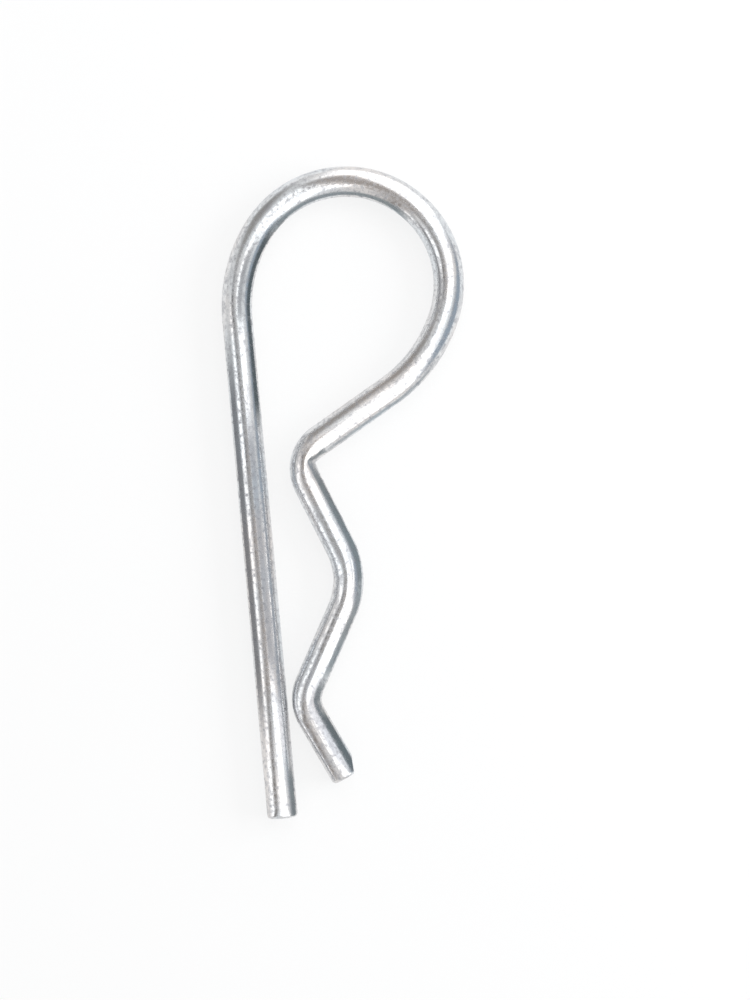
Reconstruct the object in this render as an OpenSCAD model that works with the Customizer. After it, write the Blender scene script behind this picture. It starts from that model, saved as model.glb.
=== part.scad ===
// R clip: one round spring wire, bent flat. Its straight leg goes through the cross hole of
// a shaft, and its wavy leg snaps round the outside. It lies flat, with the straight leg
// along Y, the eye at +Y and the wavy leg at +X.

/* [Wire] */
// Diameter of the spring wire
wire_d = 4; // [2:0.1:5.5]
// How much forming swells the wire's radius where it is bent
swell = 0.01; // [0.005:0.005:0.1]
// Rounding of the edge at both cut ends
end_round = 0.45; // [0.1:0.05:0.9]

/* [Eye] */
// Inside diameter of the eye
eye_d = 23; // [18:0.5:32]
// Inside radius of the wider bends that lead into and out of the eye
shoulder_bend_r = 17; // [14:0.5:28]
// Turn of the bend that leads from the straight leg into the eye
entry_turn = 36; // [10:1:60]
// Turn of the bend that leads out of the eye towards the neck
exit_turn = 38; // [10:1:60]
// Angle between the straight leg and the run from the eye down to the neck
throat_lean = 60; // [45:1:75]

/* [Wavy leg] */
// Free gap between the straight leg and the neck
neck_gap = 3; // [1:0.1:5]
// Inside radius of the bend at the neck
neck_bend_r = 2.6; // [1.5:0.1:4.5]
// Distance along the leg from the bulge up to the neck
neck_rise = 13.8; // [11.5:0.1:20]
// Diameter of the thickest shaft that the clip holds
shaft_d = 18; // [14:0.5:22]
// Play between that shaft and the bulge
shaft_play = 0.4; // [0:0.1:1]
// Inside radius of the bulge that wraps the shaft
bulge_bend_r = 7.8; // [4:0.1:9.5]
// Distance along the leg from the pinch up to the bulge
bulge_rise = 16.2; // [13.5:0.1:22]
// Free gap between the straight leg and the pinch
pinch_gap = 0.55; // [0.1:0.05:3]
// Inside radius of the bend at the pinch
pinch_bend_r = 2.8; // [1.5:0.1:4.5]
// Distance along the leg from its cut end to the pinch
pinch_at = 14.8; // [12:0.1:24]

/* [Tip] */
// Angle at which the tip flares away from the straight leg
flare = 25; // [5:1:40]
// Length of the flared tip beyond the bend at the pinch
tip_len = 9.1; // [5:0.1:11]
// Length of the slanting shear cut on the outside of the tip
shear_len = 2.3; // [0.5:0.1:4]
// Depth of that shear cut at the very end
shear_depth = 0.9; // [0.1:0.1:1.2]

/* [Hidden] */
$fn = 96;

wire_r = wire_d / 2;
bent_r = wire_r + swell;
lap = 0.05; // how far each unswollen stretch runs on inside the bends at its ends

// Bend radii on the centre line of the wire
crown = eye_d / 2 + wire_r;
shoulder = shoulder_bend_r + bent_r;
neck = neck_bend_r + bent_r;
bulge = bulge_bend_r + bent_r;
pinch = pinch_bend_r + bent_r;

// Centres of the bends of the wavy leg, as [out from the leg's axis, up from its cut end]
pinch_c = [wire_r + pinch_gap + bent_r + pinch, pinch_at];
bulge_c = [shaft_d / 2 + shaft_play + bent_r - bulge, pinch_at + bulge_rise];
neck_c = [wire_r + neck_gap + bent_r + neck, pinch_at + bulge_rise + neck_rise];

// A straight run leaves one bend and joins the next, which turns the other way: its length,
// and its lean from the downward direction, positive away from the straight leg. side is 1
// where the first bend has its centre on the far side of the wire, and -1 where the near.
function run_len(from, to, radii) = sqrt(pow(norm(to - from), 2) - pow(radii, 2));
function run_lean(from, to, radii, side) =
    atan2(to.x - from.x, from.y - to.y) + side * asin(radii / norm(to - from));

upper_run = run_len(neck_c, bulge_c, neck + bulge);
upper_lean = run_lean(neck_c, bulge_c, neck + bulge, 1);
lower_run = run_len(bulge_c, pinch_c, bulge + pinch);
lower_lean = run_lean(bulge_c, pinch_c, bulge + pinch, -1);

// Way travelled by a bend that turns from one heading to another, clockwise from straight up
function way(r, from, to) = r * [cos(from) - cos(to), sin(to) - sin(from)];

loop_turn = 180 + throat_lean;
crown_start = way(shoulder, 0, entry_turn);
crown_end = crown_start + way(crown, entry_turn, loop_turn - exit_turn);
loop_end = crown_end + way(shoulder, loop_turn - exit_turn, loop_turn);

// The throat run closes the wire: it is as long as it must be to reach from the eye across
// to the neck, and the straight leg is as long as it must be to carry the eye at that height
neck_start = neck_c + neck * [-cos(throat_lean), sin(throat_lean)];
throat_run = (loop_end.x - neck_start.x) / sin(throat_lean);
leg_len = neck_start.y + throat_run * cos(throat_lean) - loop_end.y;

// Middle of the eye, and of the whole clip's outline
eye_c = [0, leg_len] + crown_start + crown * [cos(entry_turn), -sin(entry_turn)];
outline_low = [-bent_r, 0];
outline_high = eye_c + (crown + wire_r) * [1, 1];
middle = (outline_low + outline_high) / 2;

// Straight length of wire along +Y between two bends, with what follows it
module straight(len) {
    rotate([-90, 0, 0]) translate([0, 0, -lap]) cylinder(h = len + 2 * lap, r = wire_r);
    translate([0, len, 0]) children();
}

// Arc of wire about the origin, counter-clockwise from +X, run on by extra at both ends
module arc(turn, r, thick_r, extra = 0) {
    over = extra / r * 180 / PI;
    rotate([0, 0, -over]) rotate_extrude(angle = turn + 2 * over) translate([r, 0])
        circle(thick_r);
}

// Bend that turns the wire to the right, about a centre at +X, with what follows it
module bend_right(turn, r, thick_r = bent_r, extra = 0) {
    translate([r, 0, 0]) {
        rotate([0, 0, 180 - turn]) arc(turn, r, thick_r, extra);
        rotate([0, 0, -turn]) translate([-r, 0, 0]) children();
    }
}

// Bend that turns the wire to the left, about a centre at -X, with what follows it
module bend_left(turn, r) {
    translate([-r, 0, 0]) {
        arc(turn, r, bent_r);
        rotate([0, 0, turn]) translate([r, 0, 0]) children();
    }
}

// Last length of wire along +Y, from a bend to a cut end with a rounded edge
module cut_length(len) {
    rotate([-90, 0, 0]) rotate_extrude() {
        translate([0, -lap]) square([wire_r, len + lap - end_round]);
        square([wire_r - end_round, len]);
        translate([wire_r - end_round, len - end_round]) intersection() {
            circle(end_round);
            square(end_round);
        }
    }
}

// Flared tip, with the slanting cut that the shear left on its outside
module tip() {
    slant = atan(shear_depth / shear_len);
    difference() {
        cut_length(tip_len);
        translate([-wire_r, tip_len - shear_len, 0]) rotate([0, 0, 90 - slant])
            translate([-wire_r, 0, -wire_d]) cube([wire_r + 2 * shear_len, wire_d, 2 * wire_d]);
    }
}

// The whole wire: the straight leg, then the eye and the wavy leg followed to the tip
module spring_wire() {
    color("#c3c7c9") translate([-middle.x, leg_len - middle.y, bent_r]) {
        rotate([0, 0, 180]) cut_length(leg_len);
        bend_right(entry_turn, shoulder)
            bend_right(loop_turn - entry_turn - exit_turn, crown, wire_r, lap)
            bend_right(exit_turn, shoulder)
            straight(throat_run)
            bend_left(throat_lean + upper_lean, neck)
            straight(upper_run)
            bend_right(upper_lean - lower_lean, bulge)
            straight(lower_run)
            bend_left(flare - lower_lean, pinch)
            tip();
    }
}

spring_wire();
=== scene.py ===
import math
import bmesh
import bpy
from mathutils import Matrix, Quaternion, Vector


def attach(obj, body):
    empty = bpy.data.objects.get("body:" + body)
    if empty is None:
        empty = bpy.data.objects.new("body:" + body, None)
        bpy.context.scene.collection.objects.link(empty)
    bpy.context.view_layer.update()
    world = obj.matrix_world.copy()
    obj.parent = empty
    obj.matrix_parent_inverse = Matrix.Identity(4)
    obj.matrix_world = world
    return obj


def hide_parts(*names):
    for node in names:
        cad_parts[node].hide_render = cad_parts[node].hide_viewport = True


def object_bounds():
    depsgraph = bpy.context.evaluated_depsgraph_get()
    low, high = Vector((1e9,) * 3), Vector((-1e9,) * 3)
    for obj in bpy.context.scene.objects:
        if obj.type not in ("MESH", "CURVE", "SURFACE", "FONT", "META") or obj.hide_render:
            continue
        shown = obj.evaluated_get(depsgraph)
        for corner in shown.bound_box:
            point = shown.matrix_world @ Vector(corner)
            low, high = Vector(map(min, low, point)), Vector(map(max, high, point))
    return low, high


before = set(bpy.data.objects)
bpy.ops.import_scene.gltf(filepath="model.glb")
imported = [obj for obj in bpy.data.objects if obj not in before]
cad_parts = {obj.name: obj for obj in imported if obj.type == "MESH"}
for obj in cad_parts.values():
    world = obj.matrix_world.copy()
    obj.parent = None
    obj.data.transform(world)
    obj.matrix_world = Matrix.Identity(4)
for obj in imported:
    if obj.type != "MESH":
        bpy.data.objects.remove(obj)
cadLow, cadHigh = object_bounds()  # the box that the wire has to stay in
mm = 0.001


def toLinear(hexColour):
    channels = [int(hexColour[i:i + 2], 16) / 255 for i in (1, 3, 5)]
    return [c / 12.92 if c <= 0.04045 else ((c + 0.055) / 1.055) ** 2.4 for c in channels] + [1]


def addNode(tree, kind, inputs=None, **settings):
    node = tree.nodes.new(kind)
    for name, value in settings.items():
        setattr(node, name, value)
    for socket, value in (inputs or {}).items():
        if isinstance(value, bpy.types.NodeSocket):
            tree.links.new(value, node.inputs[socket])
        else:
            node.inputs[socket].default_value = value
    return node


def newMaterial(name):
    material = bpy.data.materials.new(name)
    material.use_nodes = True
    material.node_tree.nodes.clear()
    return material


# The wire, in millimetres and degrees, followed from the straight leg's cut end
wireShape = {
    "radius": 1.995,  # a hair under half of the 4 mm wire, so that it stays in the box
    "inset": 0.01,  # how far the straight leg keeps from the box's left side
    "sides": 72,
    "ringSpacing": 1.2,  # along the straight stretches
    "fewestSteps": 4,  # along a short one
    "bendStep": 2.5,  # degrees turned from one ring to the next
    "endRound": 0.45,  # edge of both cut ends
    "endSteps": 6,
    "smoothBelow": 35,  # degrees between two faces, above which their edge stays sharp
    "path": [
        ("run", 65.515),  # straight leg
        ("right", 19.01, 36.0),
        ("right", 13.5, 166.0),  # eye
        ("right", 19.01, 38.0),
        ("run", 11.124),  # throat
        ("left", 4.61, 81.748),  # neck
        ("run", 9.105),
        ("right", 9.81, 50.584),  # bulge
        ("run", 10.444),
        ("left", 4.81, 53.837),  # pinch
        ("run", 9.1),  # flared tip
    ],
    "shearLength": 2.3,  # slanting cut on the outside of the tip
    "shearDepth": 0.9,
}
# How points are told apart while the mesh is shaped, in mm or as shares of the wire's radius
tellApart = {
    "flat": 0.001,  # within this of a plane, a point lies in it
    "merged": 0.01,  # points this close become one
    "wholeEnd": 1.01,  # share that takes in the whole rim of an end
    "tipReach": 12.0,  # what is ahead of the tip's start and this near to it is the tip
    "insideBend": 0.6,  # share by which a point is nearer to a bend's centre than the axis is
    "inTube": 1.05,  # share within which a point belongs to a stretch
    "behindBend": -0.5,  # radians back from a bend's start, past which the long way round counts
    "cutFace": 1.0,  # mm2, more than any face has but those of the cuts
}


def headingOf(degrees):
    turned = math.radians(degrees)  # clockwise from +Y
    return Vector((math.sin(turned), math.cos(turned), 0))


def wireStretches():
    radius = wireShape["radius"] * mm
    place = Vector((cadLow.x + radius + wireShape["inset"] * mm, cadLow.y,
                    (cadLow.z + cadHigh.z) / 2))
    turned, along = 0, 0
    stretches = []
    for kind, size, *turn in wireShape["path"]:
        heading, right = headingOf(turned), headingOf(turned + 90)
        stretch = {"kind": kind, "start": place, "heading": heading, "right": right,
                   "along": along}
        if kind == "run":
            stretch["length"] = size * mm
            place = place + heading * size * mm
            along += size * mm
        else:
            side = 1 if kind == "right" else -1
            centre = place + right * side * size * mm
            stretch.update(centre=centre, bendRadius=size * mm, turn=turn[0], side=side)
            turned += side * turn[0]
            place = centre - headingOf(turned + 90) * side * size * mm
            along += size * mm * math.radians(turn[0])
        stretches.append(stretch)
    return stretches, place, turned, along


def editMesh(obj):
    return bmesh.from_edit_mesh(obj.data)


def selectOnly(obj, wanted):
    bpy.ops.mesh.select_all(action="DESELECT")
    mesh = editMesh(obj)
    for vert in mesh.verts:
        vert.select = wanted(vert)
    mesh.select_flush(True)
    bmesh.update_edit_mesh(obj.data)


def growWire(stretches):
    bpy.ops.object.select_all(action="DESELECT")
    bpy.ops.mesh.primitive_circle_add(
        vertices=wireShape["sides"], radius=wireShape["radius"] * mm, fill_type="NOTHING",
        location=stretches[0]["start"], rotation=(math.pi / 2, 0, 0))
    wire = bpy.context.object
    wire.name = "springWire"
    bpy.ops.object.transform_apply(location=True, rotation=True, scale=True)
    bpy.ops.object.mode_set(mode="EDIT")
    bpy.ops.mesh.select_mode(type="VERT")
    bpy.ops.mesh.select_all(action="SELECT")
    for stretch in stretches:
        if stretch["kind"] == "run":
            steps = max(wireShape["fewestSteps"],
                        round(stretch["length"] / (wireShape["ringSpacing"] * mm)))
            step = stretch["heading"] * stretch["length"] / steps
            for _ in range(steps):
                bpy.ops.mesh.extrude_region_move(TRANSFORM_OT_translate={"value": step})
        else:
            bpy.ops.mesh.spin(steps=round(stretch["turn"] / wireShape["bendStep"]),
                              angle=stretch["side"] * math.radians(stretch["turn"]),
                              center=stretch["centre"], axis=(0, 0, 1))
    return wire


def cutEnds(wire, stretches, endPlace, endTurned):
    tipHeading, tipRight = headingOf(endTurned), headingOf(endTurned + 90)
    radius, flat = wireShape["radius"] * mm, tellApart["flat"] * mm
    leg = stretches[0]
    for place, heading in ((leg["start"], leg["heading"]), (endPlace, tipHeading)):
        selectOnly(wire, lambda v: abs((v.co - place).dot(heading)) < flat
                   and (v.co - place).length < radius * tellApart["wholeEnd"])
        bpy.ops.mesh.edge_face_add()
        bpy.ops.mesh.bevel(offset=wireShape["endRound"] * mm, segments=wireShape["endSteps"],
                           affect="EDGES")
    slant = math.atan(wireShape["shearDepth"] / wireShape["shearLength"])
    plane = endPlace - tipHeading * wireShape["shearLength"] * mm - tipRight * radius
    normal = tipHeading * math.sin(slant) - tipRight * math.cos(slant)
    tipStart = stretches[-1]["start"]
    selectOnly(wire, lambda v: (v.co - tipStart).dot(tipHeading) > -flat
               and (v.co - tipStart).length < tellApart["tipReach"] * mm)
    bpy.ops.mesh.bisect(plane_co=plane, plane_no=normal, clear_outer=True, threshold=flat)
    bpy.ops.mesh.select_all(action="DESELECT")
    bpy.ops.mesh.select_non_manifold()
    bpy.ops.mesh.edge_face_add()
    bpy.ops.mesh.mark_sharp()
    bpy.ops.mesh.select_all(action="SELECT")
    bpy.ops.mesh.remove_doubles(threshold=tellApart["merged"] * mm)
    bpy.ops.mesh.normals_make_consistent(inside=False)


# The upright edge of the forming tool leaves a mark on the inside of each tight bend: which
# stretch of the path that is, how deep the edge went, and how far from it the wire gave way, in mm
toolPress = {
    "neck": {"stretch": 5, "depth": 0.7, "reach": 2.1},
    "bulge": {"stretch": 7, "depth": 0.05, "reach": 1.6},
    "pinch": {"stretch": 9, "depth": 0.07, "reach": 1.6},
}


def pressBends(wire, stretches):
    radius, flat = wireShape["radius"] * mm, tellApart["flat"] * mm
    for press in toolPress.values():
        bend = stretches[press["stretch"]]
        centre = bend["centre"]
        outward = -headingOf(math.degrees(math.atan2(bend["right"].x, bend["right"].y))
                             + bend["side"] * bend["turn"] / 2) * bend["side"]
        inside = centre + outward * (bend["bendRadius"] - radius)
        nearest = min(editMesh(wire).verts, key=lambda v: (v.co - inside).length).co.copy()
        across = (nearest - centre).normalized()
        along = Vector((-across.y, across.x, 0))
        farthest = bend["bendRadius"] - radius * tellApart["insideBend"]
        selectOnly(wire, lambda v: abs((v.co - centre).dot(along)) < flat
                   and 0 < (v.co - centre).dot(across) < farthest)
        bpy.ops.transform.translate(
            value=outward * press["depth"] * mm, use_proportional_edit=True,
            proportional_edit_falloff="SHARP", proportional_size=press["reach"] * mm)


# How far along the wire a point is, and how far to the right of its axis
def alongWire(point, stretches):
    tube = wireShape["radius"] * tellApart["inTube"] * mm
    best = None
    for stretch in stretches:
        if stretch["kind"] == "run":
            away = point - stretch["start"]
            travelled, span = away.dot(stretch["heading"]), stretch["length"]
            side = away.dot(stretch["right"])
        else:
            away = point - stretch["centre"]
            outward = -stretch["right"] * stretch["side"]
            turned = math.atan2(away.dot(stretch["heading"]), away.dot(outward))
            if turned < tellApart["behindBend"]:
                turned += math.tau
            span = math.radians(stretch["turn"]) * stretch["bendRadius"]
            travelled = turned * stretch["bendRadius"]
            side = (stretch["bendRadius"] - math.hypot(away.x, away.y)) * stretch["side"]
        beyond = max(-travelled, travelled - span, 0)
        miss = beyond + max(abs(side) - tube, 0)
        if best is None or miss < best[0]:
            best = (miss, stretch["along"] + travelled, side)
    return best[1:]


# Gives each point its place in the straightened wire, and tells the cut faces from the rest
def markWire(wire, stretches, height):
    straightened = wire.data.attributes.new("straightened", "FLOAT_VECTOR", "POINT")
    for vert, value in zip(wire.data.vertices, straightened.data):
        travelled, side = alongWire(vert.co, stretches)
        value.vector = (travelled, side, vert.co.z - height)
    sheared = wire.data.attributes.new("sheared", "FLOAT", "FACE")
    for face, value in zip(wire.data.polygons, sheared.data):
        isCut = face.area > tellApart["cutFace"] * mm * mm and len(face.vertices) > 4
        face.use_smooth = not isCut
        value.value = 1 if isCut else 0


stretches, endPlace, endTurned, wireLength = wireStretches()
wire = growWire(stretches)
cutEnds(wire, stretches, endPlace, endTurned)
pressBends(wire, stretches)
bpy.ops.object.mode_set(mode="OBJECT")
bpy.ops.object.shade_smooth_by_angle(angle=math.radians(wireShape["smoothBelow"]))
markWire(wire, stretches, endPlace.z)
print("wire grown:", len(wire.data.vertices), "points,", round(wireLength / mm, 1), "mm long")

# Bright zinc plating over drawn spring steel, with the blue passivation that hardware gets: a
# metal that mirrors softly, with a cold tint that drifts, the drawing die's lines running along
# the wire, and a fine crystal grain that breaks up the edges of reflections
zincFinish = {
    "cold": "#e1e5e8",
    "warm": "#e5e1df",
    "dulled": "#b4b5b9",
    "shearRough": 0.38,  # roughness of the cut faces
    # Sizes in mm along and across the wire. The die lines and the crystals are drawn coarser than
    # real ones, so that they show
    "patterns": {
        "drift": {"along": 11.0, "across": 3.2, "finer": 2.0, "ragged": 0.5},
        "lines": {"along": 7.0, "across": 0.2, "finer": 2.0, "ragged": 0.5},
        "grain": {"along": 0.5, "across": 0.5, "finer": 2.0, "ragged": 0.5},
        "scuffs": {"along": 2.4, "across": 0.7, "finer": 3.0, "ragged": 0.65},
    },
    # What each pattern does between two of its heights, as shares or as roughness
    "effects": {
        "warmed": {"of": "drift", "between": (0.4, 0.62), "gives": (0.0, 1.0)},
        "scuffGreyed": {"of": "scuffs", "between": (0.52, 0.75), "gives": (0.0, 1.0)},
        "grainGreyed": {"of": "grain", "between": (0.46, 0.74), "gives": (0.0, 1.0)},
        "grainRough": {"of": "grain", "between": (0.42, 0.72), "gives": (0.16, 0.42)},
        "scuffRough": {"of": "scuffs", "between": (0.5, 0.75), "gives": (0.16, 0.38)},
    },
    "bumpHeight": 0.005,  # mm
    "lineBump": 0.4,
    "grainBump": 0.8,
}


def zincPlating():
    material = newMaterial("zincPlatedWire")
    tree = material.node_tree
    place = addNode(tree, "ShaderNodeAttribute", attribute_name="straightened").outputs["Vector"]

    patterns, effects = {}, {}
    for name, pattern in zincFinish["patterns"].items():
        sizes = [pattern[way] * mm for way in ("along", "across", "across")]
        scaled = addNode(tree, "ShaderNodeMapping", {
            "Vector": place, "Scale": [1 / size for size in sizes]})
        patterns[name] = addNode(tree, "ShaderNodeTexNoise", {
            "Vector": scaled.outputs[0], "Scale": 1.0, "Detail": pattern["finer"],
            "Roughness": pattern["ragged"]}).outputs["Fac"]
    for name, effect in zincFinish["effects"].items():
        low, high = effect["between"]
        least, most = effect["gives"]
        effects[name] = addNode(tree, "ShaderNodeMapRange", {
            0: patterns[effect["of"]], 1: low, 2: high, 3: least, 4: most}).outputs[0]

    tint = addNode(tree, "ShaderNodeMix", {
        0: effects["warmed"], 6: toLinear(zincFinish["cold"]), 7: toLinear(zincFinish["warm"])},
        data_type="RGBA")
    greyed = addNode(tree, "ShaderNodeMath", {
        0: effects["scuffGreyed"], 1: effects["grainGreyed"]}, operation="MAXIMUM")
    colour = addNode(tree, "ShaderNodeMix", {
        0: greyed.outputs[0], 6: tint.outputs[2], 7: toLinear(zincFinish["dulled"])},
        data_type="RGBA")
    sheared = addNode(tree, "ShaderNodeAttribute", attribute_name="sheared").outputs["Fac"]
    onCut = addNode(tree, "ShaderNodeMath", {
        0: sheared, 1: zincFinish["shearRough"]}, operation="MULTIPLY")
    onWire = addNode(tree, "ShaderNodeMath", {
        0: effects["grainRough"], 1: effects["scuffRough"]}, operation="MAXIMUM")
    roughness = addNode(tree, "ShaderNodeMath", {
        0: onWire.outputs[0], 1: onCut.outputs[0]}, operation="MAXIMUM")

    bumpHeight = zincFinish["bumpHeight"] * mm
    dieLines = addNode(tree, "ShaderNodeBump", {
        "Height": patterns["lines"], "Strength": zincFinish["lineBump"],
        "Distance": bumpHeight})
    crystals = addNode(tree, "ShaderNodeBump", {
        "Height": patterns["grain"], "Strength": zincFinish["grainBump"],
        "Distance": bumpHeight, "Normal": dieLines.outputs[0]})
    metal = addNode(tree, "ShaderNodeBsdfPrincipled", {
        "Base Color": colour.outputs[2], "Metallic": 1.0, "Roughness": roughness.outputs[0],
        "Normal": crystals.outputs[0]})
    addNode(tree, "ShaderNodeOutputMaterial", {"Surface": metal.outputs[0]})
    return material


wire.data.materials.append(zincPlating())
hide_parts("spring_wire")
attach(wire, "root")
print("wire finished")

# A white table under soft light from all round. Its shading keeps some of the wire's shadow
studio = {
    "tableSize": 3.0,
    "tablePaint": "#fcfdfe",
    "seenShade": 0.2,  # share of the table's real shading that shows to the eye
    "mirroredShade": 0.3,  # and in the metal
    "skyForShading": 0.6,  # beside a white of 1
    "skyMirrored": 0.8,
}


def layTable():
    bpy.ops.object.select_all(action="DESELECT")
    bpy.ops.mesh.primitive_plane_add(size=studio["tableSize"], location=(0, 0, cadLow.z))
    table = bpy.context.object
    table.name = "table"
    material = newMaterial("matteWhitePaint")
    tree = material.node_tree
    rays = addNode(tree, "ShaderNodeLightPath").outputs
    mirrored = addNode(tree, "ShaderNodeMath", {
        0: rays["Is Glossy Ray"], 1: rays["Is Transmission Ray"]}, operation="MAXIMUM")
    painted = addNode(tree, "ShaderNodeBsdfDiffuse", {"Color": toLinear(studio["tablePaint"])})
    white = addNode(tree, "ShaderNodeEmission", {"Color": (1, 1, 1, 1), "Strength": 1.0})
    share = addNode(tree, "ShaderNodeMath", {
        0: rays["Is Camera Ray"], 1: 1 - studio["seenShade"]}, operation="MULTIPLY")
    shareMirrored = addNode(tree, "ShaderNodeMath", {
        0: mirrored.outputs[0], 1: 1 - studio["mirroredShade"]}, operation="MULTIPLY")
    whiteShare = addNode(tree, "ShaderNodeMath", {
        0: share.outputs[0], 1: shareMirrored.outputs[0]}, operation="MAXIMUM")
    mixed = addNode(tree, "ShaderNodeMixShader", {
        0: whiteShare.outputs[0], 1: painted.outputs[0], 2: white.outputs[0]})
    addNode(tree, "ShaderNodeOutputMaterial", {"Surface": mixed.outputs[0]})
    table.data.materials.append(material)


def lightSky():
    world = bpy.data.worlds.new("softSky")
    bpy.context.scene.world = world
    world.use_nodes = True
    world.node_tree.nodes.clear()
    tree = world.node_tree
    rays = addNode(tree, "ShaderNodeLightPath").outputs
    mirrored = addNode(tree, "ShaderNodeMath", {
        0: rays["Is Glossy Ray"], 1: rays["Is Transmission Ray"]}, operation="MAXIMUM")
    dimmed = addNode(tree, "ShaderNodeMapRange", {
        0: mirrored.outputs[0], 3: studio["skyForShading"], 4: studio["skyMirrored"]})
    strength = addNode(tree, "ShaderNodeMath", {
        0: dimmed.outputs[0], 1: rays["Is Camera Ray"]}, operation="MAXIMUM")
    glow = addNode(tree, "ShaderNodeBackground", {
        "Color": (1, 1, 1, 1), "Strength": strength.outputs[0]})
    addNode(tree, "ShaderNodeOutputWorld", {"Surface": glow.outputs[0]})


# Two soft lamps for the table: where each stands (degrees clockwise from +Y, and above the table),
# its distance and its sides in mm, and how bright its cloth is beside a white sky of 1
softBoxes = {
    "rightBox": {"turned": 85, "raised": 28, "away": 420, "sides": (380, 200), "bright": 5.0},
    "farBox": {"turned": 20, "raised": 50, "away": 420, "sides": (360, 300), "bright": 1.2},
}
# Soft-edged cloths and cards that the metal mirrors, placed in the same way. Each is rolled in its
# own plane, and "edge" is the share of its half width over which it fades out
cards = {
    "farCloth": {"turned": 26, "raised": 38, "away": 132, "sides": (155, 270), "rolled": -9,
                 "edge": 0.35, "paint": "#ffffff", "bright": 2.1},
    "nearCloth": {"turned": 148, "raised": 60, "away": 216, "sides": (190, 440), "rolled": -16,
                  "edge": 0.35, "paint": "#ffffff", "bright": 2.1},
    "leftCloth": {"turned": 258, "raised": 28, "away": 140, "sides": (60, 190), "rolled": -43,
                  "edge": 0.35, "paint": "#ffffff", "bright": 1.6},
    "sideCard": {"turned": 88, "raised": 16, "away": 78, "sides": (120, 62), "rolled": 38,
                 "edge": 0.25, "paint": "#a3adb8", "bright": 1.0},
    "armCard": {"turned": 284, "raised": 60, "away": 220, "sides": (64, 160), "rolled": 36,
                "edge": 0.35, "paint": "#747375", "bright": 1.0},
    "cornerCard": {"turned": 327, "raised": 25, "away": 105, "sides": (60, 98), "rolled": 21,
                   "edge": 0.5, "paint": "#a09c99", "bright": 1.0},
    "overheadCard": {"turned": 260, "raised": 74, "away": 112, "sides": (100, 52), "rolled": 14,
                     "edge": 0.4, "paint": "#a9a6a4", "bright": 1.0},
    "lowCard": {"turned": 232, "raised": 33, "away": 100, "sides": (28, 135), "rolled": -13,
                "edge": 0.45, "paint": "#8f8b89", "bright": 1.0},
    "topCard": {"turned": 5, "raised": 37, "away": 52, "sides": (17, 46), "rolled": -20,
                "edge": 0.35, "paint": "#aaa5a2", "bright": 1.0},
}
# Boards close to the wire, mirrored from their front only: "middle" is in mm, "turned" is the
# heading they face and "leaned" how many degrees they look downwards. The flags are dark glowing
# sheets that stand low beside the wire, where the table has only shade. They paint that shade into
# the metal, so the wire's sides get a dark edge of painted reflected shade. innerBoard and
# shoulderBoard grey the middle of the leg, innerCloth brightens its right, eyeStrip draws the
# eye's inner line, crownBoard darkens the top of the eye, and tipBoard mutes the shine of the tip
boards = {
    "innerBoard": {"middle": (-11.5, -7.0, 10.5), "sides": (44, 8.6), "turned": 270, "leaned": 36,
                   "edge": 0.4, "paint": "#bcc0c6", "bright": 1.0},
    "shoulderBoard": {"middle": (-10.5, 27.5, 10.5), "sides": (13, 8.6), "turned": 284,
                      "leaned": 36, "edge": 0.6, "paint": "#b4b4b6", "bright": 1.0},
    "crownBoard": {"middle": (4.3, 34.5, 28.0), "sides": (11, 15), "turned": 16, "leaned": 80,
                   "edge": 0.5, "paint": "#a39f9c", "bright": 1.0},
    "innerCloth": {"middle": (12.0, -11.0, 18.0), "sides": (25, 5), "turned": 284, "leaned": 59,
                   "edge": 0.5, "paint": "#ffffff", "bright": 1.6},
    # The low flags below are painted reflected shade: dark sheets where only the table's shade is
    "legShadeFlag": {"middle": (-20.0, -5.0, 3.1), "sides": (62, 8.2), "turned": 90, "leaned": 0,
                "edge": 0.45, "paint": "#8c8e91", "bright": 1.0},
    "eyeShadeFlag": {"middle": (-8.0, 22.0, 1.9), "sides": (30, 5.8), "turned": 276, "leaned": 0,
                "edge": 0.4, "paint": "#5f686c", "bright": 1.0},
    "eyeStrip": {"middle": (8.4, 28.2, 4.8), "sides": (14, 2.0), "turned": 87, "leaned": 12,
                 "edge": 0.6, "paint": "#8a8a8c", "bright": 1.0},
    "topShadeFlag": {"middle": (0.5, 34.3, 1.6), "sides": (22, 5.2), "turned": 0, "leaned": 0,
                "edge": 0.5, "paint": "#99a2a6", "bright": 1.0},
    "endShadeFlag": {"middle": (-9.0, -41.0, 2.2), "sides": (13, 6.4), "turned": 272, "leaned": 0,
                "edge": 0.5, "paint": "#8e979b", "bright": 1.0},
    "throatShadeFlag": {"middle": (5.9, 7.5, 1.1), "sides": (24, 4.4), "turned": 328, "leaned": 0,
                   "edge": 0.4, "paint": "#c2c9cd", "bright": 1.0},
    "neckShadeFlag": {"middle": (0.5, -5.0, 2.1), "sides": (22, 6.2), "turned": 247, "leaned": 0,
                 "edge": 0.3, "paint": "#8d969a", "bright": 1.0},
    "bulgeShadeFlag": {"middle": (-0.3, -19.6, 2.3), "sides": (19, 6.6), "turned": 298, "leaned": 0,
                  "edge": 0.45, "paint": "#a6aeb2", "bright": 1.0},
    "tipShadeFlag": {"middle": (-2.4, -31.9, 3.4), "sides": (15, 8.8), "turned": 245, "leaned": 0,
                "edge": 0.55, "paint": "#747d81", "bright": 1.0},
    "tipBoard": {"middle": (-4.9, -31.3, 8.0), "sides": (12, 8), "turned": 245, "leaned": 65,
                 "edge": 0.5, "paint": "#ecebee", "bright": 1.25},
}


def placeOf(stand):
    level = math.radians(stand["raised"])
    direction = headingOf(stand["turned"]) * math.cos(level) + Vector((0, 0, math.sin(level)))
    return direction * stand["away"] * mm


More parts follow.
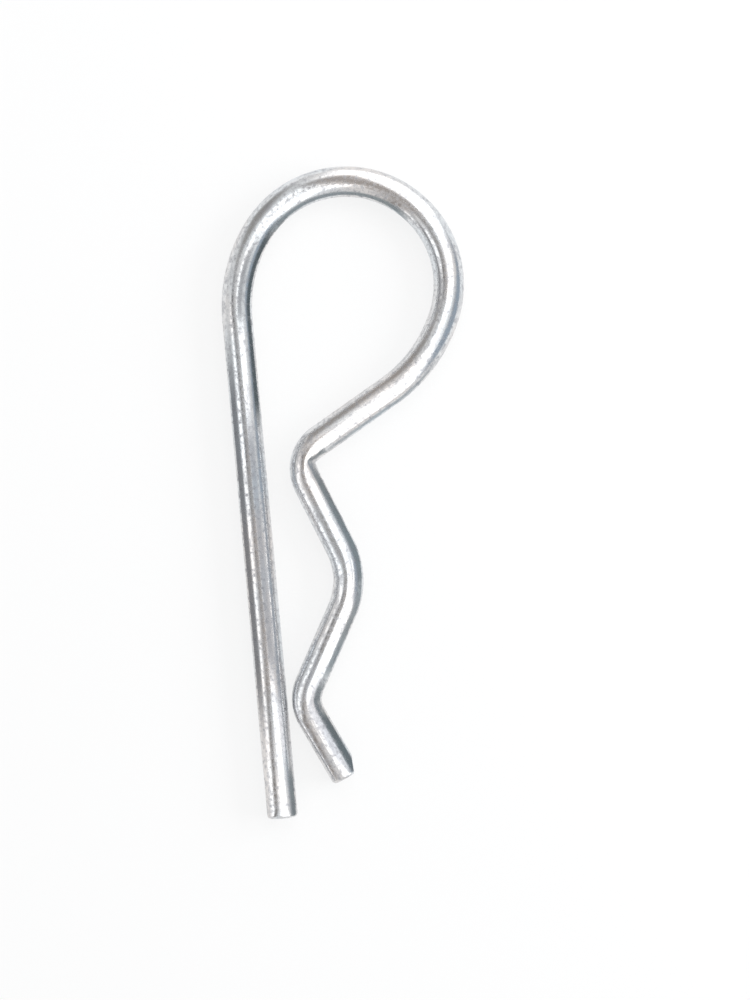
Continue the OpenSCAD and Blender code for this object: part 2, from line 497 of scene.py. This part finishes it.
def hangLights():
    for name, box in softBoxes.items():
        lamp = bpy.data.lights.new(name, "AREA")
        lamp.shape = "RECTANGLE"
        lamp.size, lamp.size_y = [side * mm for side in box["sides"]]
        lamp.energy = box["bright"] * math.pi * lamp.size * lamp.size_y
        holder = bpy.data.objects.new(name, lamp)
        bpy.context.collection.objects.link(holder)
        place = placeOf(box)
        holder.location = place
        holder.rotation_euler = place.to_track_quat("Z", "Y").to_euler()
        holder.visible_camera = holder.visible_glossy = False


def softEdged(name, card):
    material = newMaterial(name + "Fabric")
    tree = material.node_tree
    place = addNode(tree, "ShaderNodeTexCoord").outputs["UV"]
    fromMiddle = addNode(tree, "ShaderNodeVectorMath", {
        0: place, 1: (0.5, 0.5, 0)}, operation="SUBTRACT")
    apart = addNode(tree, "ShaderNodeVectorMath", {0: fromMiddle.outputs[0]}, operation="ABSOLUTE")
    sides = addNode(tree, "ShaderNodeSeparateXYZ", {0: apart.outputs[0]}).outputs
    faded = [addNode(tree, "ShaderNodeMapRange", {
        0: side, 1: 0.5 - card["edge"] / 2, 2: 0.5, 3: 1.0, 4: 0.0},
        interpolation_type="SMOOTHSTEP").outputs[0] for side in (sides[0], sides[1])]
    cloth = addNode(tree, "ShaderNodeMath", {0: faded[0], 1: faded[1]}, operation="MULTIPLY")
    behind = addNode(tree, "ShaderNodeNewGeometry").outputs["Backfacing"]
    strength = addNode(tree, "ShaderNodeMath", {
        0: cloth.outputs[0], 1: behind}, operation="SUBTRACT", use_clamp=True)
    clear = addNode(tree, "ShaderNodeBsdfTransparent")
    glow = addNode(tree, "ShaderNodeEmission", {
        "Color": toLinear(card["paint"]), "Strength": card["bright"]})
    mixed = addNode(tree, "ShaderNodeMixShader", {
        0: strength.outputs[0], 1: clear.outputs[0], 2: glow.outputs[0]})
    addNode(tree, "ShaderNodeOutputMaterial", {"Surface": mixed.outputs[0]})
    return material


def hangCard(name, card, place, facing):
    bpy.ops.object.select_all(action="DESELECT")
    bpy.ops.mesh.primitive_plane_add(size=1, location=place, rotation=facing)
    board = bpy.context.object
    board.name = name
    board.scale = (card["sides"][0] * mm, card["sides"][1] * mm, 1)
    board.data.materials.append(softEdged(name, card))
    board.visible_camera = board.visible_diffuse = board.visible_shadow = False
    board.visible_transmission = board.visible_volume_scatter = False


def hangCards():
    for name, card in cards.items():
        place = placeOf(card)
        rolled = Quaternion((0, 0, 1), math.radians(card["rolled"]))
        facing = (-place).to_track_quat("Z", "Y") @ rolled
        hangCard(name, card, place, facing.to_euler())
    for name, board in boards.items():
        down = math.radians(board["leaned"])
        faces = headingOf(board["turned"]) * math.cos(down) - Vector((0, 0, math.sin(down)))
        facing = faces.to_track_quat("Z", "Y")
        hangCard(name, board, Vector(board["middle"]) * mm, facing.to_euler())


layTable()
lightSky()
hangLights()
hangCards()
print("studio lit")

# The camera looks straight down, turned so that the straight leg leans a little to the left
cameraSetup = {
    "lens": 100.0,
    "sensor": 36.0,
    "frameTall": 131.02,  # mm that it takes in from top to bottom
    "aim": (1.78, -1.82),  # mm
    "rolled": 5.21,
    "nearest": 0.01,  # m, what it sees between these
    "furthest": 20,
}


def setCamera():
    camera = bpy.data.objects.new("camera", bpy.data.cameras.new("camera"))
    bpy.context.collection.objects.link(camera)
    camera.data.lens = cameraSetup["lens"]
    camera.data.sensor_width = cameraSetup["sensor"]
    height = cameraSetup["lens"] * cameraSetup["frameTall"] / cameraSetup["sensor"]
    camera.location = (cameraSetup["aim"][0] * mm, cameraSetup["aim"][1] * mm,
                       (cadLow.z + cadHigh.z) / 2 + height * mm)
    camera.rotation_euler = (0, 0, -math.radians(cameraSetup["rolled"]))
    camera.data.clip_start = cameraSetup["nearest"]
    camera.data.clip_end = cameraSetup["furthest"]
    bpy.context.scene.camera = camera


setCamera()
bpy.context.scene.view_settings.view_transform = "Standard"

print("all in place")
